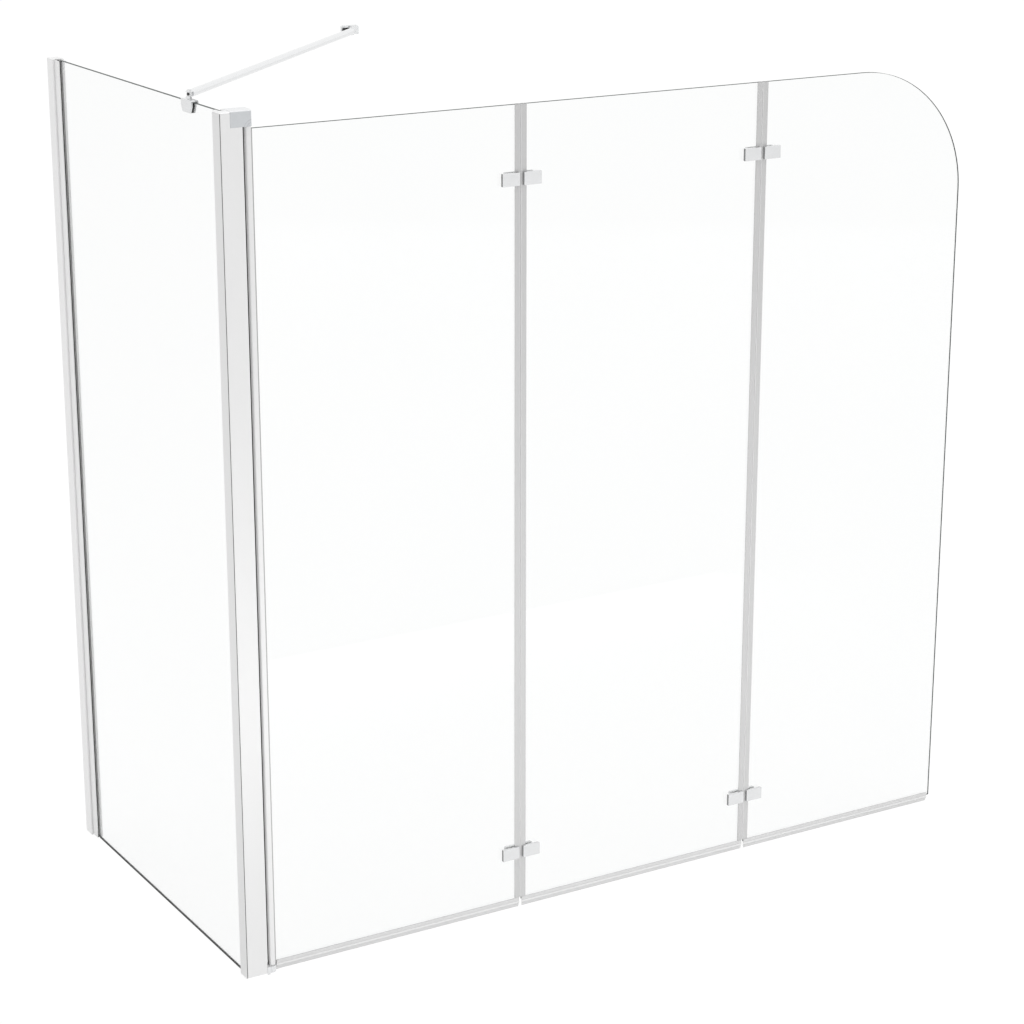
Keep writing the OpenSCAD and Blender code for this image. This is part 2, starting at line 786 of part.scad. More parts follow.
module bar_wall_bracket() {
    color(chrome_colour) difference() {
        union() {
            translate([0, 0, bar_z])
                standing(wall_y - bracket_d, wall_y)
                    translate([bracket_block_x, 0]) rounded_rect(bracket_w, bracket_h, 1);
            translate([bracket_block_x + bracket_w / 2 + cut - bracket_plate_l / 2, 0, bar_z])
                standing(wall_y - bracket_plate_t, wall_y)
                    rounded_rect(bracket_plate_l, bracket_plate_h, 2);
            translate([bracket_x, bracket_y, bar_z]) upright(-tongue_t / 2, tongue_t / 2) {
                circle(bush_r);
                rotate(atan2(bracket_out - bracket_d, bracket_shift))
                    rect(0, norm([bracket_out - bracket_d, bracket_shift]) + cut,
                        -fork_r / 2, fork_r / 2);
            }
        }
        translate([bracket_x, bracket_y, 0]) cylinder(h = 2 * bar_z, r = swivel_hole_r);
        bar_y(bracket_screw_x, bar_z, wall_y - bracket_d, wall_y + cut,
            bracket_screw_r + pin_play);
    }
}

// Screw of the bracket, under an oval cap
module bar_wall_screw() {
    face_y = wall_y - bracket_plate_t;
    color(dark_colour) {
        bar_y(bracket_screw_x, bar_z, face_y - bracket_cap_t / 2, wall_y, bracket_screw_r);
        translate([bracket_screw_x, 0, bar_z]) standing(face_y - bracket_cap_t, face_y)
            rounded_rect(bracket_cap[0], bracket_cap[1], bracket_cap[2]);
    }
}

// Pivot profile: turns on the pins and grips the first glass
module pivot_profile() {
    back_x = pivot_x - profile_back;
    half = profile_d / 2;
    color(aluminium_colour) upright(front_foot, block_z - pivot_gap) difference() {
        union() {
            rect(back_x + profile_r, slot_x, -half, half);
            rect(back_x, slot_x, profile_r - half, half - profile_r);
            for (y = [profile_r - half, half - profile_r])
                translate([back_x + profile_r, y]) circle(profile_r);
            rect(slot_x - cut, flange_end_x, -half, -slot_half);
            rect(slot_x - cut, inner_end_x, slot_half, half);
        }
        translate([pivot_x, 0]) circle(pin_hole_r);
    }
}

module pivot_profile_gasket() {
    color(seal_colour) upright(front_foot, front_top) {
        rect(slot_x, glass_1_x, -slot_half, slot_half);
        rect(slot_x, flange_end_x + gasket_lip, -slot_half, -glass_t / 2);
        rect(slot_x, inner_end_x, glass_t / 2, slot_half);
    }
}

// Hinge screws' places beside a joint: side is -1 for its left panel and 1 for its right one
module screw_places(joint_x, side) {
    for (z = hinge_heights, k = [-0.5, 0.5])
        translate([joint_x + side * leaf_mid, 0, z + k * screw_pitch]) children();
}

// Slots in a glass, each for the two screws of a hinge
module glass_holes(joint_x, side) {
    for (z = hinge_heights) translate([joint_x + side * leaf_mid, 0, z])
        standing(-glass_t, glass_t) {
            square([glass_hole_d, screw_pitch], center = true);
            for (k = [-0.5, 0.5]) translate([0, k * screw_pitch]) circle(d = glass_hole_d);
        }
}

module glass_1() {
    color(glass_colour) difference() {
        standing(-glass_t / 2, glass_t / 2)
            rect(glass_1_x, joint_1_x - glass_gap / 2, front_foot, front_top);
        glass_holes(joint_1_x, -1);
    }
}

module glass_2() {
    color(glass_colour) difference() {
        standing(-glass_t / 2, glass_t / 2)
            rect(joint_1_x + glass_gap / 2, joint_2_x - glass_gap / 2, front_foot, front_top);
        glass_holes(joint_1_x, 1);
        glass_holes(joint_2_x, -1);
    }
}

module glass_3() {
    color(glass_colour) difference() {
        standing(-glass_t / 2, glass_t / 2) {
            rect(joint_2_x + glass_gap / 2, free_edge_x - corner_r, front_foot, front_top);
            rect(joint_2_x + glass_gap / 2, free_edge_x, front_foot, front_top - corner_r);
            translate([free_edge_x - corner_r, front_top - corner_r]) intersection() {
                circle(corner_r, $fn = 128);
                square(corner_r);
            }
        }
        glass_holes(joint_2_x, 1);
    }
}

// Lower seals: a clip on the glass with a body and a wiping lip, drawn in Y and Z
module foot_seal_section() {
    grip = glass_t / 2 + seal_wall;
    body_z = front_foot - foot_seal_body;
    inner = foot_seal_side(grip, body_z, foot_seal_h - foot_back);
    outer = foot_seal_side(grip, body_z, foot_seal_h);
    polygon(concat(inner, [for (i = [len(outer) - 1:-1:0]) [-outer[i][0], outer[i][1]]]));
}

// One side of that section, up to the top of its leg
function foot_seal_side(grip, body_z, top) = [[foot_lip_t / 2, 0],
    [grip - seal_wall, body_z - seal_wall], [grip, body_z], [grip, body_z + seal_wall],
    [foot_seal_half, body_z + seal_wall], [foot_seal_half, front_foot], [grip, front_foot],
    [grip, top], [glass_t / 2, top], [glass_t / 2, front_foot]];

// A lower seal, closed up to the glass's edge at each end that is beside a joint
module foot_seal(x0, x1, closed_x) {
    grip = glass_t / 2 + seal_wall;
    color(seal_colour) {
        translate([x0, 0, 0]) rotate([90, 0, 90]) linear_extrude(x1 - x0) foot_seal_section();
        for (x = closed_x) upright(front_foot - seal_wall, foot_seal_h - foot_back)
            rect(x, x + foot_end_l, -grip, grip);
    }
}

module bottom_seal_1() {
    end_x = joint_1_x - foot_seal_gap / 2;
    foot_seal(pivot_x + nose_r + 0.4, end_x, [end_x - foot_end_l]);
}

module bottom_seal_2() {
    start_x = joint_1_x + foot_seal_gap / 2;
    end_x = joint_2_x - foot_seal_gap / 2;
    foot_seal(start_x, end_x, [start_x, end_x - foot_end_l]);
}

module bottom_seal_3() {
    start_x = joint_2_x + foot_seal_gap / 2;
    foot_seal(start_x, free_edge_x - foot_seal_end, [start_x]);
}

// Upright seal beside a joint: a clip on the glass's edge and a hollow bead
bead_r = 1.2;

module upright_seal_plan() {
    half = glass_t / 2 + seal_wall;
    inner = seal_split / 2;
    edge = glass_gap / 2;
    difference() {
        union() {
            rect(inner + bead_r, seal_w + inner, -half, half);
            rect(inner, edge, bead_r - half, half - bead_r);
            for (y = [bead_r - half, half - bead_r]) translate([inner + bead_r, y]) circle(bead_r);
        }
        rect(edge, seal_w + cut, -glass_t / 2, glass_t / 2);
        rect(inner + seal_w - upright_back, seal_w + cut, 0, half + cut);
        rect(inner + seal_wall, edge - seal_wall, -glass_t / 2, glass_t / 2);
    }
}

// Its clip stops above and below each hinge, and its bead runs on between the glasses
module upright_seal(joint_x, side) {
    room = plate_h / 2 + knuckle_gap;
    color(seal_colour) translate([joint_x, 0, 0]) mirror([side < 0 ? 1 : 0, 0]) difference() {
        upright(foot_seal_h + knuckle_gap, front_top) upright_seal_plan();
        for (z = hinge_heights) upright(z - room, z + room)
            rect(glass_gap / 2, seal_w + cut, -glass_t, glass_t);
    }
}

module upright_seal_1_right() { upright_seal(joint_1_x, -1); }
module upright_seal_2_left() { upright_seal(joint_1_x, 1); }
module upright_seal_2_right() { upright_seal(joint_2_x, -1); }
module upright_seal_3_left() { upright_seal(joint_2_x, 1); }

// Screw of a hinge: head in the inner leaf, thread in the outer plate
module hinge_screw(play) {
    inner_y = hinge_pin_y - leaf_clear;
    outer_y = -glass_t / 2 - plate_pad - plate_t + hinge_skin;
    bar_y(0, 0, outer_y, inner_y, hinge_screw_d / 2 + play);
    translate([0, inner_y, 0]) rotate([90, 0, 0])
        cylinder(h = hinge_head_h, r1 = hinge_head_d / 2 + play, r2 = hinge_screw_d / 2 + play);
}

module plate_outline(w) {
    rounded_rect(w, plate_h, plate_r);
}

// Outer hinge plates: plain outside, with blind threaded holes behind
module hinge_plates(joint_x, side) {
    outer = glass_t / 2 + plate_pad;
    color(chrome_colour) difference() {
        for (z = hinge_heights) translate([joint_x + side * plate_mid, 0, z])
            standing(-outer - plate_t, -outer) plate_outline(plate_w);
        screw_places(joint_x, side) hinge_screw(0);
    }
}

module hinge_plates_1_right() { hinge_plates(joint_1_x, -1); }
module hinge_plates_2_left() { hinge_plates(joint_1_x, 1); }
module hinge_plates_2_right() { hinge_plates(joint_2_x, -1); }
module hinge_plates_3_left() { hinge_plates(joint_2_x, 1); }

// Inner hinge leaves. A left panel's leaf has the two outer knuckles, a right one's the middle
module knuckle_cut(joint_x, z0, z1) {
    translate([joint_x, hinge_pin_y, 0]) upright(z0, z1) circle(knuckle_r + knuckle_room);
}

module knuckle(joint_x, side, z0, z1) {
    arm = plate_gap / 2 + cut;
    translate([joint_x, hinge_pin_y, 0]) upright(z0, z1) {
        circle(knuckle_r);
        mirror([side > 0 ? 0 : 1, 0]) rect(0, arm, -knuckle_r, -leaf_clear);
    }
}

module hinge_leaf(joint_x, side, z) {
    inner = glass_t / 2 + plate_pad;
    middle = [z - knuckle_h / 2, z + knuckle_h / 2];
    low = [z - plate_h / 2, middle[0] - knuckle_gap];
    high = [middle[1] + knuckle_gap, z + plate_h / 2];
    own = side < 0 ? [low, high] : [middle];
    other = side < 0 ? [[low[1], high[0]]] :
        [[low[0] - cut, middle[0]], [middle[1], high[1] + cut]];
    difference() {
        union() {
            difference() {
                translate([joint_x + side * leaf_mid, 0, z])
                    standing(inner, inner + plate_t) plate_outline(leaf_w);
                for (o = other) knuckle_cut(joint_x, o[0], o[1]);
            }
            for (k = own) knuckle(joint_x, side, k[0], k[1]);
        }
        translate([joint_x, hinge_pin_y, z - plate_h])
            cylinder(h = 2 * plate_h, r = hinge_pin_d / 2 + (side < 0 ? 0 : pin_play));
    }
}

module hinge_leaves(joint_x, side) {
    color(chrome_colour) difference() {
        for (z = hinge_heights) hinge_leaf(joint_x, side, z);
        screw_places(joint_x, side) hinge_screw(pin_play);
    }
}

module hinge_leaves_1_right() { hinge_leaves(joint_1_x, -1); }
module hinge_leaves_2_left() { hinge_leaves(joint_1_x, 1); }
module hinge_leaves_2_right() { hinge_leaves(joint_2_x, -1); }
module hinge_leaves_3_left() { hinge_leaves(joint_2_x, 1); }

// Soft pads on both faces of the glass, a little smaller than the plates and leaves
pad_inset = 0.6;

module hinge_pad(w, y) {
    standing(y, y + plate_pad) square([w - 2 * pad_inset, plate_h - 2 * pad_inset], center = true);
}

module hinge_pads(joint_x, side) {
    color(seal_colour) difference() {
        for (z = hinge_heights) translate([joint_x, 0, z]) {
            translate([side * plate_mid, 0]) hinge_pad(plate_w, -glass_t / 2 - plate_pad);
            translate([side * leaf_mid, 0]) hinge_pad(leaf_w, glass_t / 2);
        }
        screw_places(joint_x, side) hinge_screw(pin_play);
    }
}

module hinge_pads_1_right() { hinge_pads(joint_1_x, -1); }
module hinge_pads_2_left() { hinge_pads(joint_1_x, 1); }
module hinge_pads_2_right() { hinge_pads(joint_2_x, -1); }
module hinge_pads_3_left() { hinge_pads(joint_2_x, 1); }

module hinge_screws(joint_x, side) {
    socket_d = 1.4;
    inner_y = hinge_pin_y - leaf_clear;
    color(steel_colour) screw_places(joint_x, side) difference() {
        hinge_screw(0);
        bar_y(0, 0, inner_y - socket_d, inner_y + cut, hinge_screw_d / 3);
    }
}

module hinge_screws_1_right() { hinge_screws(joint_1_x, -1); }
module hinge_screws_2_left() { hinge_screws(joint_1_x, 1); }
module hinge_screws_2_right() { hinge_screws(joint_2_x, -1); }
module hinge_screws_3_left() { hinge_screws(joint_2_x, 1); }

module hinge_pins(joint_x) {
    color(steel_colour) for (z = hinge_heights)
        translate([joint_x, hinge_pin_y, z - plate_h / 2])
            cylinder(h = plate_h, d = hinge_pin_d);
}

module hinge_pins_1() { hinge_pins(joint_1_x); }
module hinge_pins_2() { hinge_pins(joint_2_x); }

corner_post();
post_top_cap();
post_foot_cap();
post_seal_strip();
post_glass_liner();
upper_pivot_block();
lower_pivot_block();
pivot_block_screws();
pivot_pins();
side_glass();
wall_profile();
wall_profile_caps();
adjusting_profile();
wall_glass_liner();
wall_outer_gasket();
side_foot_strip();
adjusting_screws();
stabiliser_bar();
bar_end_forks();
bar_swivel_bushes();
bar_swivel_screws();
bar_glass_clamp();
bar_clamp_pads();
bar_clamp_grub_screw();
bar_wall_bracket();
bar_wall_screw();
pivot_profile();
pivot_profile_gasket();
glass_1();
glass_2();
glass_3();
bottom_seal_1();
bottom_seal_2();
bottom_seal_3();
upright_seal_1_right();
upright_seal_2_left();
upright_seal_2_right();
upright_seal_3_left();
hinge_plates_1_right();
hinge_plates_2_left();
hinge_plates_2_right();
hinge_plates_3_left();
hinge_leaves_1_right();
hinge_leaves_2_left();
hinge_leaves_2_right();
hinge_leaves_3_left();
hinge_pads_1_right();
hinge_pads_2_left();
hinge_pads_2_right();
hinge_pads_3_left();
hinge_screws_1_right();
hinge_screws_2_left();
hinge_screws_2_right();
hinge_screws_3_left();
hinge_pins_1();
hinge_pins_2();
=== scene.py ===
import json
import math

import bmesh
import bpy
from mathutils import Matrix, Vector


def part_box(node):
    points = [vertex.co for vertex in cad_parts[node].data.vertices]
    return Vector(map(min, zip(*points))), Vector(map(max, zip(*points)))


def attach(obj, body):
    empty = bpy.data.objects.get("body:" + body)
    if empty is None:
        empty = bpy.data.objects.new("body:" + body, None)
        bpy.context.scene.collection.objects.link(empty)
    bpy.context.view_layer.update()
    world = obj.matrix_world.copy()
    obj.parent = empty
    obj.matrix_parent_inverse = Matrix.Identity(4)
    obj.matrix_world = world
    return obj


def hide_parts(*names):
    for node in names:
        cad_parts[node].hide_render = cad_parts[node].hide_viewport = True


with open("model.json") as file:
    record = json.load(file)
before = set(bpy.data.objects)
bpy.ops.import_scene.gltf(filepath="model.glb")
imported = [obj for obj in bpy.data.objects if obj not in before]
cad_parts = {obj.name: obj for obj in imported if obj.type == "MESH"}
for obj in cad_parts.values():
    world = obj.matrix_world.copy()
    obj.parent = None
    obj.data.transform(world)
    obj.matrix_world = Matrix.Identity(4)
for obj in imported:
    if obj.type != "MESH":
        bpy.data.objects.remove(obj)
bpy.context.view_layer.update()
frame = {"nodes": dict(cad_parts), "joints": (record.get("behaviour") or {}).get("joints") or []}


# Corner post. A hollow aluminium section, pressed through a die and anodised a satin silver.
# It stands on the bath's rim and carries the turning front and the side glass. A fine
# groove runs down its outer corner, its inside painted near black as shade, and its sawn
# ends are deburred under the caps.
MM = 0.001
corner_r, groove_depth = 1.2 * MM, 0.55 * MM
corner_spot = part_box("corner_post")[0].xy + Vector((corner_r, corner_r))


class Value:
    """One output of a node. Ordinary arithmetic on it adds Math nodes."""

    def __init__(self, tree, out):
        self.tree, self.out = tree, out

    def maths(self, how, *values):
        return self.tree.node("ShaderNodeMath", {"operation": how}, dict(enumerate(values)))

    def __add__(self, other):
        return self.maths("ADD", self, other)

    def __sub__(self, other):
        return self.maths("SUBTRACT", self, other)

    def __rsub__(self, other):
        return self.maths("SUBTRACT", other, self)

    def __mul__(self, other):
        return self.maths("MULTIPLY", self, other)

    def __pow__(self, other):
        return self.maths("POWER", self, other)

    __radd__, __rmul__ = __add__, __mul__

    def size(self):
        return self.maths("ABSOLUTE", self)

    def rise(self, start, end):
        """0 before start and 1 after end, smooth between them."""
        return self.tree.node("ShaderNodeMapRange", {"interpolation_type": "SMOOTHSTEP"},
                              {"Value": self, "From Min": start, "From Max": end})

    def near(self, place, reach, soft):
        """1 within reach of place, and 0 further off than reach + soft."""
        return 1 - (self - place).size().rise(reach, reach + soft)

    def also(self, name):
        """Another output of the same node."""
        return Value(self.tree, self.out.node.outputs[name])


class NodeTree:
    """The nodes of a material or of the world, all of them made by one method."""

    def __init__(self, owner):
        owner.use_nodes = True
        self.nodes, self.links = owner.node_tree.nodes, owner.node_tree.links

    def node(self, kind, settings, sockets, out=0):
        made = self.nodes.new(kind)
        for setting, value in settings.items():
            setattr(made, setting, value)
        for socket, value in sockets.items():
            if isinstance(value, Value):
                self.links.new(value.out, made.inputs[socket])
            else:
                made.inputs[socket].default_value = value
        return Value(self, made.outputs[out])


class Finish(NodeTree):
    """A material: constants sit on the shader's own sockets, and what varies is fed to them."""

    def __init__(self, name, constants):
        self.material = bpy.data.materials.new(name)
        super().__init__(self.material)
        self.shader = self.nodes["Principled BSDF"]
        for socket, value in constants.items():
            self.shader.inputs[socket].default_value = value

    def feed(self, socket, value):
        self.links.new(value.out, self.shader.inputs[socket])

    def place(self):
        """Where a point is on the piece, in metres, as three values."""
        spot = self.node("ShaderNodeTexCoord", {}, {}, "Object")
        x = self.node("ShaderNodeSeparateXYZ", {}, {0: spot})
        return x, x.also("Y"), x.also("Z")

    def cloud(self, per_metre, detail=2.0, roughness=0.5):
        """Soft noise with its own scale along X, Y and Z."""
        spot = self.node("ShaderNodeTexCoord", {}, {}, "Object")
        spot = self.node("ShaderNodeMapping", {}, {"Vector": spot, "Scale": per_metre})
        return self.node("ShaderNodeTexNoise", {}, {"Vector": spot, "Scale": 1.0,
                         "Detail": detail, "Roughness": roughness})

    def tint(self, share, dark, light):
        """A colour between dark and light, by share."""
        dark, light = (c if isinstance(c, Value) else (*c, 1) for c in (dark, light))
        return self.node("ShaderNodeMix", {"data_type": "RGBA"}, {0: share, 6: dark, 7: light}, 2)

    def relief(self, height, metres):
        """Height from 0 to 1 as a bump of that depth."""
        self.feed("Normal", self.node("ShaderNodeBump", {}, {"Height": height,
                  "Distance": metres, "Strength": 1.0}))

    def mix_in(self, share, other):
        """Lets another shader take the place of this one, by share."""
        own = Value(self, self.shader.outputs[0])
        both = self.node("ShaderNodeMixShader", {}, {0: share, 1: own, 2: other})
        self.links.new(both.out, self.nodes["Material Output"].inputs["Surface"])


def grey(level, blue=0.0):
    """A linear grey, a little blue where blue is above 0."""
    return (level * (1 - blue), level, level * (1 + blue))


def satin_aluminium(name, tone, metallic=0.6, painted_shade_stripe=None):
    """Anodised aluminium: fine die lines along Z, and slow changes of the bath's bite.
    A stripe, where given, marks where black is painted on as shade for a gap beside it."""
    f = Finish(name, {"IOR": 1.5})
    lines = f.cloud((2600, 2600, 4), 3)
    patches = f.cloud((5, 5, 1.4))
    colour = f.tint(lines * 0.45 + patches * 0.55, grey(tone * 0.95), grey(tone * 1.04))
    polish = 0.27 + lines * 0.08 + patches * 0.08
    if painted_shade_stripe:
        # Painted shade: black where the stripe is, with less metal and more roughness.
        black = painted_shade_stripe(*f.place())
        colour = f.tint(black, colour, grey(0.05))
        polish = polish + black * 0.3
        f.feed("Metallic", (1 - black) * metallic)
    else:
        f.shader.inputs["Metallic"].default_value = metallic
    f.feed("Base Color", colour)
    f.feed("Roughness", polish)
    f.relief(lines, 0.00002)
    return f.material


def put(piece, body, slot, *nodes):
    """Says what a piece rides on and which nodes it stands for. Its slot is not used."""
    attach(piece, body)
    if nodes:
        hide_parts(*nodes)


def to_piece(name, bm, *materials):
    """A mesh object with clean shading from a finished bmesh."""
    mesh = bpy.data.meshes.new(name)
    bm.to_mesh(mesh)
    bm.free()
    for material in materials:
        mesh.materials.append(material)
    mesh.shade_smooth()
    mesh.set_sharp_from_angle(angle=math.radians(32))
    piece = bpy.data.objects.new(name, mesh)
    bpy.context.collection.objects.link(piece)
    shading = piece.modifiers.new("even_shading", "WEIGHTED_NORMAL")
    shading.keep_sharp = True
    return piece


def eased(node, radius, materials, body, slot, steps=2, which=None, shape=None):
    """A solid of the frame with its sharp edges broken by a radius in mm, as the real part
    has them. which gives a face's material, and shape works on the mesh first."""
    bm = bmesh.new()
    bm.from_mesh(frame["nodes"][node].data)
    bmesh.ops.remove_doubles(bm, verts=bm.verts, dist=0.003 * MM)
    bmesh.ops.dissolve_limit(bm, angle_limit=math.radians(0.5), verts=bm.verts, edges=bm.edges)
    if shape:
        shape(bm)
    sharp = [e for e in bm.edges if len(e.link_faces) == 2
             and e.calc_face_angle(0) > math.radians(35)]
    bmesh.ops.bevel(bm, geom=sharp, offset=radius * MM, offset_type="OFFSET", segments=steps,
                    profile=0.5, affect="EDGES", clamp_overlap=True)
    bm.normal_update()
    for face in bm.faces:
        face.material_index = which(face) if which else 0
    put(to_piece(node + "_eased", bm, *materials), body, slot, node)


def press_groove(bm):
    """Presses a fine groove into the rounded outer corner, over the post's whole length."""
    for vert in bm.verts:
        off = vert.co.xy - corner_spot
        if (off.x < 0 and off.y < 0 and abs(off.length - corner_r) < 0.05 * MM
                and min(-off.x, -off.y) > 0.35 * MM):
            vert.co.xy = corner_spot + off * (off.length - groove_depth) / off.length


def in_groove(face):
    off = face.calc_center_median().xy - corner_spot
    return 1 if off.length < corner_r - 0.05 * MM else 0


# Painted shade: the faces inside the corner groove take a near-black aluminium, for the dark line
# down the corner.
eased("corner_post", 0.25, [satin_aluminium("post_aluminium", 0.76),
                            satin_aluminium("groove_painted_shade", 0.14)],
      "frame", "aluminium", which=in_groove, shape=press_groove)


# Caps of the post. White plastic mouldings pushed into its ends, with a soft rounded rim and
# the faint grain of the mould.
def moulded_plastic(name, colour):
    f = Finish(name, {"IOR": 1.46})
    patches = f.cloud((40, 40, 40))
    skin = f.cloud((1800, 1800, 1800), 3)
    f.feed("Base Color", f.tint(patches, tuple(c * 0.95 for c in colour), colour))
    f.feed("Roughness", 0.33 + skin * 0.1)
    f.relief(skin, 0.00002)
    return f.material


cap_white = moulded_plastic("cap_white", grey(0.93))
for cap in ("post_top_cap", "post_foot_cap"):
    eased(cap, 0.7, [cap_white], "frame", "white_plastic", 3)


# Soft strip beside the pivot and liner of the side glass. Extruded grey vinyl, pushed into
# grooves of the post; it closes the gap and keeps water in.
def soft_vinyl(name, tone, along=(900, 900, 3)):
    f = Finish(name, {"IOR": 1.5, "Specular IOR Level": 0.4})
    streaks = f.cloud(along, 3)
    patches = f.cloud((12, 12, 12))
    share = streaks * 0.4 + patches * 0.6
    f.feed("Base Color", f.tint(share, grey(tone * 0.93), grey(tone * 1.05)))
    f.feed("Roughness", 0.37 + streaks * 0.1)
    f.relief(streaks, 0.00003)
    return f.material


strip_grey = soft_vinyl("strip_grey", 0.50)
for strip in ("post_seal_strip", "post_glass_liner"):
    eased(strip, 0.2, [strip_grey], "frame", "seal")


# Pivot blocks. Moulded in filled nylon and screwed into the post's ends, the upper one a
# bluish grey with a painted highlight on its top, the lower one a pale grey with a round
# nose for the pin.
def block_nylon():
    """Bluish grey nylon, with a round seam of the mould in front and a top painted lighter as a
    highlight.
    """
    seam_x, seam_z, block_top = 33.5 * MM, 1373 * MM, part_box("upper_pivot_block")[1].z
    f = Finish("upper_block_grey", {"IOR": 1.52})
    x, y, z = f.place()
    # Painted highlight: the top 3 mm of the block blend into a near white, as if lit from above.
    top = z.rise(block_top - 3 * MM, block_top - 0.5 * MM)
    skin = f.cloud((1500, 1500, 1500), 3)
    patches = f.cloud((60, 60, 60))
    out = ((x - seam_x) ** 2 + (z - seam_z) ** 2) ** 0.5
    seam = out.near(8.5 * MM, 0.2 * MM, 0.2 * MM) + out.near(12.5 * MM, 0.2 * MM, 0.2 * MM)
    body = f.tint(patches, grey(0.50, 0.03), grey(0.55, 0.03))
    body = f.tint(seam * 0.6, body, grey(0.30, 0.03))
    f.feed("Base Color", f.tint(top, body, grey(0.86, 0.01)))
    f.feed("Roughness", 0.36 + skin * 0.12)
    f.relief(skin, 0.00003)
    return f.material


eased("upper_pivot_block", 0.6, [block_nylon()], "frame", "block", 3)
eased("lower_pivot_block", 0.6, [moulded_plastic("lower_block_grey", grey(0.64, 0.01))],
      "frame", "block", 3)


# Screws and pins of the pivots. Stainless steel, the pins ground smooth and the screws
# with hexagon sockets.
def bright_steel(name, tone):
    f = Finish(name, {"Metallic": 1.0})
    marks = f.cloud((2400, 2400, 2400), 4, 0.6)
    patches = f.cloud((130, 130, 130))
    f.feed("Base Color", f.tint(patches, grey(tone * 0.86), grey(tone * 1.06)))
    f.feed("Roughness", 0.19 + marks * 0.14)
    f.relief(marks, 0.00001)
    return f.material


screw_steel = bright_steel("screw_steel", 0.62)
eased("pivot_block_screws", 0.3, [screw_steel], "frame", "steel")
eased("pivot_pins", 0.3, [screw_steel], "frame", "steel")


# Side glass. A toughened pane of clear glass with ground and polished edges, held in the
# post and the wall profile. Edge on, its length of glass gathers a grey green.
def glass_faces():
    """Clear glass, which lets the lamps' light through as a plain tint."""
    f = Finish("clear_glass", {"Transmission Weight": 1.0, "IOR": 1.45, "Roughness": 0.0,
                               "Specular IOR Level": 0.5})
    haze = f.cloud((3, 3, 3))
    f.feed("Base Color", f.tint(haze, (0.952, 0.959, 0.956), (0.966, 0.971, 0.969)))
    f.mix_in(f.node("ShaderNodeLightPath", {}, {}, "Is Shadow Ray"),
             f.node("ShaderNodeBsdfTransparent", {}, {"Color": (0.975, 0.98, 0.978, 1)}))
    return f.material


def glass_edges():
    f = Finish("glass_edge", {"IOR": 1.5, "Specular IOR Level": 0.2})
    grind = f.cloud((700, 700, 700), 3)
    depth = f.cloud((9, 9, 9))
    share = depth * 0.7 + grind * 0.3
    f.feed("Base Color", f.tint(share, (0.035, 0.045, 0.042), (0.07, 0.085, 0.08)))
    f.feed("Roughness", 0.32 + grind * 0.12)
    f.relief(grind, 0.00001)
    return f.material


def arc(cx, cy, r, start, end):
    """Points of a circle in mm, with steps no longer than a few degrees."""
    count = max(6, int(abs(end - start) / 3.5))
    turns = [math.radians(start + (end - start) * i / count) for i in range(count + 1)]
    return [(cx + r * math.cos(t), cy + r * math.sin(t)) for t in turns]


def slab(u0, w0, u1, w1, radii, inset):
    """Rectangle with four corner radii, from the lower left one round, drawn in by inset."""
    a, b, c, d = (max(r - inset, 0.05) for r in radii)
    u0, w0, u1, w1 = u0 + inset, w0 + inset, u1 - inset, w1 - inset
    return (arc(u0 + a, w0 + a, a, 180, 270) + arc(u1 - b, w0 + b, b, 270, 360)
            + arc(u1 - c, w1 - c, c, 0, 90) + arc(u0 + d, w1 - d, d, 90, 180))


def pane(name, body, node, across, radii, holes=()):
    """A pane with arrissed edges, as large as its node. across is the axis of its width, 0
    for X or 1 for Y. A hole is its place across and up, its radius and half its height
    between two round ends, in mm."""
    arris, play = 0.5, 0.02
    (*start, foot), (*end, top) = ([round(v / MM, 2) for v in spot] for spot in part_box(node))
    edges = (start[across], foot, end[across], top)
    low, high = start[1 - across] + play, end[1 - across] - play

    def place(u, w, t):
        return Vector((t, u, w) if across else (u, t, w)) * MM

    bm = bmesh.new()
    rings = []
    for inset, t in ((arris, low), (0, low + arris), (0, high - arris), (arris, high)):
        loops = [slab(*edges, radii, inset)]
        loops += [arc(u, w + half, r + inset, 0, 180) + arc(u, w - half, r + inset, 180, 360)
                  for u, w, r, half in holes]
        rings.append([[bm.verts.new(place(u, w, t)) for u, w in loop] for loop in loops])
    for ring in (rings[0], rings[-1]):
        border = [bm.edges.new((loop[i - 1], loop[i])) for loop in ring for i in range(len(loop))]
        bmesh.ops.triangle_fill(bm, use_beauty=True, use_dissolve=False, edges=border)
    for first, second in zip(rings, rings[1:]):
        for one, two in zip(first, second):
            for i in range(len(one)):
                side = bm.faces.new((one[i - 1], one[i], two[i], two[i - 1]))
                side.material_index = 1
    bmesh.ops.recalc_face_normals(bm, faces=bm.faces)
    put(to_piece(name, bm, clear_glass, glass_edge), body, "glass", node)


clear_glass, glass_edge = glass_faces(), glass_edges()
small_corners = (1.5, 1.5, 1.5, 1.5)
pane("side_pane", "frame", "side_glass", 1, small_corners)


# Wall profile. An open aluminium channel screwed to the wall, with white plugs in its ends;
# a second channel that holds the glass slides in it to take up a wall out of plumb.
wall_aluminium = satin_aluminium("wall_aluminium", 0.82, 0.4)
eased("wall_profile", 0.25, [wall_aluminium], "frame", "aluminium")
eased("adjusting_profile", 0.2, [wall_aluminium], "frame", "aluminium")
eased("wall_profile_caps", 0.6, [cap_white], "frame", "white_plastic", 3)
eased("adjusting_screws", 0.3, [screw_steel], "frame", "steel")


# Gaskets of the side glass. Soft vinyl wedged in beside the glass at the wall, dark on the
# outer side and pale on the inner, and a dark strip that seals its foot on the bath's rim.
def black_rubber(name, tone):
    f = Finish(name, {"IOR": 1.5, "Specular IOR Level": 0.35})
    skin = f.cloud((1300, 1300, 1300), 4)
    bloom = f.cloud((35, 35, 35))
    f.feed("Base Color", f.tint(bloom, grey(tone * 0.8), grey(tone * 1.3)))
    f.feed("Roughness", 0.48 + skin * 0.16)
    f.relief(skin, 0.00004)
    return f.material


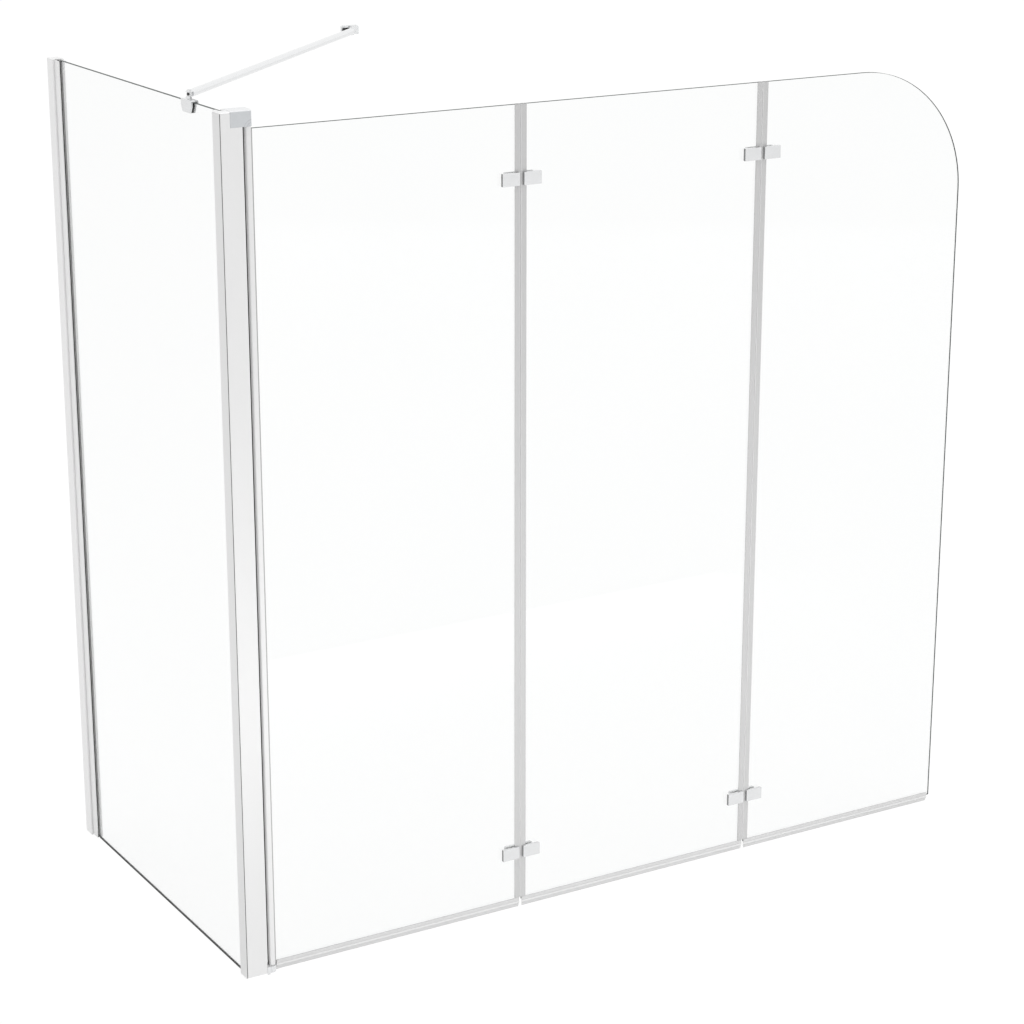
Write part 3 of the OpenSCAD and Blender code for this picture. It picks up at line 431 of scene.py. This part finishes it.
def lipped_gasket():
    """Black vinyl with a paler lip pressed out along the glass."""
    glass_x, lip_w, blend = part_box("side_glass")[0].x, 0.5 * MM, 0.2 * MM
    f = Finish("lipped_gasket", {"IOR": 1.5, "Specular IOR Level": 0.35})
    x, y, z = f.place()
    skin = f.cloud((900, 900, 3), 3)
    lip = x.rise(glass_x - lip_w - blend, glass_x - lip_w)
    f.feed("Base Color", f.tint(lip, f.tint(skin, grey(0.03), grey(0.05)), grey(0.55)))
    f.feed("Roughness", 0.44 + skin * 0.12)
    f.relief(skin, 0.00003)
    return f.material


dark_rubber = black_rubber("dark_rubber", 0.035)
eased("wall_outer_gasket", 0.2, [lipped_gasket()], "frame", "dark")
eased("side_foot_strip", 0.3, [dark_rubber], "frame", "dark")
eased("wall_glass_liner", 0.2, [soft_vinyl("liner_pale", 0.88)], "frame", "seal")


# Stabiliser bar. A chromed brass tube that ties the side glass to the wall, with forked ends
# pressed in, and at each swivel a screw down the middle and a small one that locks it.
def polished_chrome(name, tone, metallic):
    f = Finish(name, {"Metallic": metallic, "IOR": 1.6})
    haze = f.cloud((55, 55, 55))
    wipe = f.cloud((1900, 1900, 1900), 4)
    f.feed("Base Color", f.tint(haze, grey(tone * 0.97, 0.008), grey(tone * 1.03, 0.008)))
    f.feed("Roughness", 0.11 + haze * 0.05 + wipe * 0.03)
    f.relief(wipe, 0.0000006)
    return f.material


bar_chrome = polished_chrome("bar_chrome", 0.86, 0.85)
cast_chrome = polished_chrome("cast_chrome", 0.80, 0.6)
eased("stabiliser_bar", 0.3, [bar_chrome], "frame", "chrome")
eased("bar_end_forks", 0.4, [bar_chrome], "frame", "chrome")
eased("bar_swivel_bushes", 0.2, [cast_chrome], "frame", "dark")
eased("bar_swivel_screws", 0.3, [cast_chrome], "frame", "dark")


def lock_screw(name, x, y, facing):
    """A grub screw in the side of a swivel's bush, black as painted shade for the swivel's dark
    side. Its rings run up its shank, over its face and down into a hexagon socket, each a radius,
    a reach and whether it has flats."""
    shank_r, face, socket_r, socket_floor, corners = 2.3, 4.5, 1.1, 4.15, 24
    rings = ((shank_r, 3.4, False), (shank_r, face - 0.3, False), (shank_r - 0.3, face, False),
             (socket_r + 0.2, face, False), (socket_r, face - 0.1, True),
             (socket_r, socket_floor, True))
    turn, sixth = math.radians(facing), math.pi / 3
    out = Vector((math.cos(turn), math.sin(turn), 0))
    side, up = Vector((-out.y, out.x, 0)), Vector((0, 0, 1))
    bm = bmesh.new()
    loops = []
    for radius, reach, flats in rings:
        middle = Vector((x, y, bar_height)) + out * reach
        loop = []
        for i in range(corners):
            t = 2 * math.pi * i / corners
            r = radius * math.cos(sixth / 2) / math.cos(t % sixth - sixth / 2) if flats else radius
            loop.append(bm.verts.new((middle + (side * math.cos(t) + up * math.sin(t)) * r) * MM))
        loops.append(loop)
    for one, two in zip(loops, loops[1:]):
        for i in range(corners):
            bm.faces.new((one[i - 1], one[i], two[i], two[i - 1]))
    bm.faces.new(loops[-1])
    bm.faces.new(loops[0][::-1])
    bmesh.ops.recalc_face_normals(bm, faces=bm.faces)
    put(to_piece(name, bm, swivel_shade_black), "frame", "dark")


bar_height = 1410
clamp_swivel, bracket_swivel = (-8, 114.5), (542, 649.5)
# Painted shade: the lock screws are black to give the dark spot on each swivel's shaded side.
swivel_shade_black = black_rubber("swivel_painted_shade", 0.05)
lock_screw("clamp_lock_screw", *clamp_swivel, -140)
lock_screw("bracket_lock_screw", *bracket_swivel, -130)


# Clamp on the side glass and bracket on the wall. Cast in zinc and chromed, the clamp with
# rubber pads and a grub screw, the bracket under a dark oval cap.
glass_middle_x = clamp_swivel[0] * MM


def halve_clamp(bm):
    """Parts the clamp's faces over the middle of the glass."""
    bmesh.ops.bisect_plane(bm, geom=[*bm.verts, *bm.edges, *bm.faces], dist=0.0001 * MM,
                           plane_co=(glass_middle_x, 0, 0), plane_no=(1, 0, 0))


def inner_half(face):
    return 1 if face.calc_center_median().x > glass_middle_x else 0


# Painted shade: the clamp's inner half, seen through the glass, takes a darker chrome than its
# outer half.
eased("bar_glass_clamp", 1.3, [cast_chrome, polished_chrome("clamp_inside_painted_shade", 0.45, 0.5)],
      "frame", "chrome", 3, inner_half, halve_clamp)
eased("bar_clamp_pads", 0.3, [dark_rubber], "frame", "dark")
eased("bar_clamp_grub_screw", 0.2, [screw_steel], "frame", "steel")
eased("bar_wall_bracket", 0.6, [polished_chrome("bracket_chrome", 0.84, 0.6)], "frame",
      "chrome", 3)
eased("bar_wall_screw", 0.2, [dark_rubber], "frame", "dark")


# Pivot profile. The turning upright of the front, an aluminium section with two flanges
# that grip the first glass through a grey gasket. A black stripe of painted shade runs down
# its flank, for the shadow in the gap beside the post.
# Where the painted shade lies: the pivot's flank, behind a line just ahead of its middle.
def flank_painted_shade(x, y, z):
    flank_x, shade_edge_y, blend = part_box("pivot_profile")[0].x, -0.8 * MM, 0.1 * MM
    return (1 - x.rise(flank_x + blend, flank_x + 2 * blend)) * y.rise(shade_edge_y, shade_edge_y + blend)


eased("pivot_profile", 0.25, [satin_aluminium("pivot_aluminium", 0.73, 0.3, flank_painted_shade)],
      "panel_1", "aluminium")
eased("pivot_profile_gasket", 0.2, [soft_vinyl("gasket_grey", 0.36)], "panel_1", "seal")


# Front glasses. Three toughened panes that fold on each other, with ground edges and a slot
# at every hinge for its two screws; the last has one large round corner at its free top.
folds = [joint["pos_m"][0] / MM for joint in frame["joints"] if "fold" in joint["name"]]


def front_pane(number, radii, *hinge_edges):
    """One pane. A hinge edge is a fold and the pane's side of it, -1 or 1."""
    hinge_levels, slot_off, slot_r, slot_half = (103, 1254), 14.75, 4, 5
    slots = [(fold + side * slot_off, level, slot_r, slot_half)
             for fold, side in hinge_edges for level in hinge_levels]
    pane(f"front_pane_{number}", f"panel_{number}", f"glass_{number}", 0, radii, slots)


front_pane(1, small_corners, (folds[0], -1))
front_pane(2, small_corners, (folds[0], 1), (folds[1], -1))
front_pane(3, (1.5, 1.5, 218, 1.5), (folds[1], 1))


# Foot seals. Grey vinyl clips pushed onto the lower edge of each glass, with a drip lip
# below and fine lines of the die along them. Their end faces are painted near white as
# painted light, to brighten the shaded gap between seals, and the second and third are cut
# back on a slant at the fold.
def foot_vinyl():
    """Grey vinyl with a painted highlight, lighter along its bulge."""
    bulge_z = 9.7 * MM
    f = Finish("foot_seal_grey", {"IOR": 1.5, "Specular IOR Level": 0.4})
    x, y, z = f.place()
    streaks = f.cloud((3, 900, 900), 3)
    # Painted highlight: a band at the bulge's height is painted lighter.
    bulge = z.near(bulge_z, 1.2 * MM, 0.4 * MM)
    plain = f.tint(streaks, grey(0.53), grey(0.58))
    f.feed("Base Color", f.tint(bulge, plain, grey(0.65)))
    f.feed("Roughness", 0.36 + streaks * 0.1)
    f.relief(streaks, 0.00003)
    return f.material


def mitre(bm):
    """Trims a seal's left end back on a slant so that the panel folds freely."""
    slant = math.radians(32)
    left, front = (min(vert.co[axis] for vert in bm.verts) for axis in (0, 1))
    cut = bmesh.ops.bisect_plane(bm, geom=[*bm.verts, *bm.edges, *bm.faces],
                                 dist=0.0001 * MM, clear_outer=True,
                                 plane_co=(left, front, 0),
                                 plane_no=(-math.cos(slant), math.sin(slant), 0))
    rim = [part for part in cut["geom_cut"] if isinstance(part, bmesh.types.BMEdge)]
    bmesh.ops.triangle_fill(bm, use_beauty=True, use_dissolve=False, edges=rim)
    bmesh.ops.dissolve_limit(bm, angle_limit=math.radians(0.5), verts=bm.verts, edges=bm.edges)
    bmesh.ops.recalc_face_normals(bm, faces=bm.faces)


def at_seal_end(face):
    return 1 if abs(face.normal.x) > 0.8 else 0


# Painted light: the seals' end faces take a near white, so the shaded gap between seals reads
# bright.
foot_finishes = [foot_vinyl(), moulded_plastic("seal_end_painted_light", grey(0.88))]
for number, trim in ((1, None), (2, mitre), (3, mitre)):
    eased(f"bottom_seal_{number}", 0.2, foot_finishes, f"panel_{number}", "seal",
          which=at_seal_end, shape=trim)


# Upright seals of the folding joints. The same vinyl with a hollow bead; two beads meet in
# the middle of a joint and close it.
def upright_vinyl():
    """Grey vinyl, painted lighter where two beads meet to lift the shade in the joint."""
    f = Finish("upright_seal_grey", {"IOR": 1.5, "Specular IOR Level": 0.4})
    x, y, z = f.place()
    streaks = f.cloud((900, 900, 3), 3)
    # Painted light: a band about each fold is lighter, against the shade between the beads.
    first, second = (x.near(fold * MM, 1.1 * MM, 0.5 * MM) for fold in folds)
    plain = f.tint(streaks, grey(0.45), grey(0.50))
    f.feed("Base Color", f.tint(first + second, plain, grey(0.60)))
    f.feed("Roughness", 0.36 + streaks * 0.1)
    f.relief(streaks, 0.00003)
    return f.material


upright_seal_grey = upright_vinyl()
fold_sides = (("1_right", "panel_1"), ("2_left", "panel_2"),
              ("2_right", "panel_2"), ("3_left", "panel_3"))
for side, body in fold_sides:
    eased(f"upright_seal_{side}", 0.2, [upright_seal_grey], body, "seal")


# Hinges. Chromed brass plates outside, leaves with rolled knuckles inside and a steel pin
# down each, clamped on the glass over soft pads by two countersunk screws a side.
def on_left_edge(face):
    return 1 if face.normal.x < -0.8 else 0


plate_chrome = polished_chrome("plate_chrome", 0.77, 0.75)
# Painted shade: the plates' left-facing sides take darker chromes, dark on right-hand plates and
# grey on left-hand ones.
painted_side_shades = {"right": polished_chrome("plate_side_painted_shade_dark", 0.25, 0.6),
               "left": polished_chrome("plate_side_painted_shade_grey", 0.42, 0.6)}
pad_grey = soft_vinyl("pad_grey", 0.88, (900, 900, 900))
for side, body in fold_sides:
    hand = side.split("_")[1]
    eased(f"hinge_plates_{side}", 0.5, [plate_chrome, painted_side_shades[hand]], body, "chrome", 3,
          on_left_edge)
    eased(f"hinge_leaves_{side}", 0.35, [plate_chrome], body, "chrome")
    eased(f"hinge_pads_{side}", 0.15, [pad_grey], body, "seal")
    eased(f"hinge_screws_{side}", 0.15, [screw_steel], body, "steel")
for number in (1, 2):
    eased(f"hinge_pins_{number}", 0.3, [screw_steel], f"panel_{number}", "steel")


# Studio. A plain pale floor under a white sky, a broad soft lamp from the front right and
# weaker ones low in front, on the left and above, and the camera at the photograph's angle.
def pale_floor():
    """A matt floor that rays from the camera and through glass see as white, with the
    object's faint shadow, and that metal shows half lit."""
    half_width, drop = 60, 0.6 * MM
    mesh = bpy.data.meshes.new("floor")
    bm = bmesh.new()
    bmesh.ops.create_grid(bm, x_segments=8, y_segments=8, size=half_width)
    bm.to_mesh(mesh)
    bm.free()
    floor = bpy.data.objects.new("floor", mesh)
    floor.location.z = -drop
    bpy.context.collection.objects.link(floor)
    f = Finish("pale_floor", {"Base Color": (0.97, 0.97, 0.97, 1), "Roughness": 0.9,
                              "Specular IOR Level": 0.1})
    ray = f.node("ShaderNodeLightPath", {}, {}, "Is Camera Ray")
    seen = (ray + ray.also("Is Transmission Ray")).rise(0.0, 1.0)
    share = seen * 0.93 + ray.also("Is Glossy Ray") * 0.42 * (1 - seen)
    f.mix_in(share, f.node("ShaderNodeEmission", {}, {"Color": (1, 1, 1, 1), "Strength": 1.04}))
    mesh.materials.append(f.material)


def white_sky():
    """White to the camera, in glass and in metal, and a little weaker as plain light."""
    light_level = 0.82
    world = bpy.data.worlds.new("white_sky")
    bpy.context.scene.world = world
    tree = NodeTree(world)
    ray = tree.node("ShaderNodeLightPath", {}, {}, "Is Camera Ray")
    seen = ray + ray.also("Is Glossy Ray") + ray.also("Is Transmission Ray")
    strength = light_level + seen.rise(0.0, 1.0) * (1 - light_level)
    sky = tree.nodes["Background"]
    sky.inputs["Color"].default_value = (1, 1, 1, 1)
    tree.links.new(strength.out, sky.inputs["Strength"])


def lamp(name, at, target, size, watts, mirrored=False):
    """A soft rectangle of light. mirrored says whether metal shows it as a highlight."""
    light = bpy.data.lights.new(name, "AREA")
    light.shape, light.size, light.size_y, light.energy = "RECTANGLE", *size, watts
    holder = bpy.data.objects.new(name, light)
    holder.location = at
    holder.rotation_euler = (Vector(target) - Vector(at)).to_track_quat("-Z", "Y").to_euler()
    holder.visible_glossy = mirrored
    holder.visible_camera = holder.visible_transmission = False
    bpy.context.collection.objects.link(holder)


pale_floor()
white_sky()
lamp("key_lamp", (3.8, -4.8, 1.5), (0.6, 0.3, 0.5), (3.5, 2.4), 40)
lamp("low_lamp", (0.6, -1.3, 0.15), (0.6, 0.0, 0.15), (2.4, 0.3), 9)
lamp("side_lamp", (-4.5, 0.3, 1.4), (0.0, 0.3, 0.7), (2.0, 2.0), 20)
lamp("top_lamp", (0.2, -0.6, 5.0), (0.5, 0.3, 0.7), (4.0, 4.0), 30, True)

camera_turn, camera_tilt = 30.64, 17.35
camera = bpy.data.cameras.new("camera")
camera.sensor_width, camera.lens, camera.clip_end = 36, 93.86, 300
viewer = bpy.data.objects.new("camera", camera)
viewer.location = (-1.6294, -3.5695, 2.0033)
viewer.rotation_euler = (math.radians(90 - camera_tilt), 0, math.radians(-camera_turn))
bpy.context.collection.objects.link(viewer)
bpy.context.scene.camera = viewer
bpy.context.scene.view_settings.view_transform = "Standard"
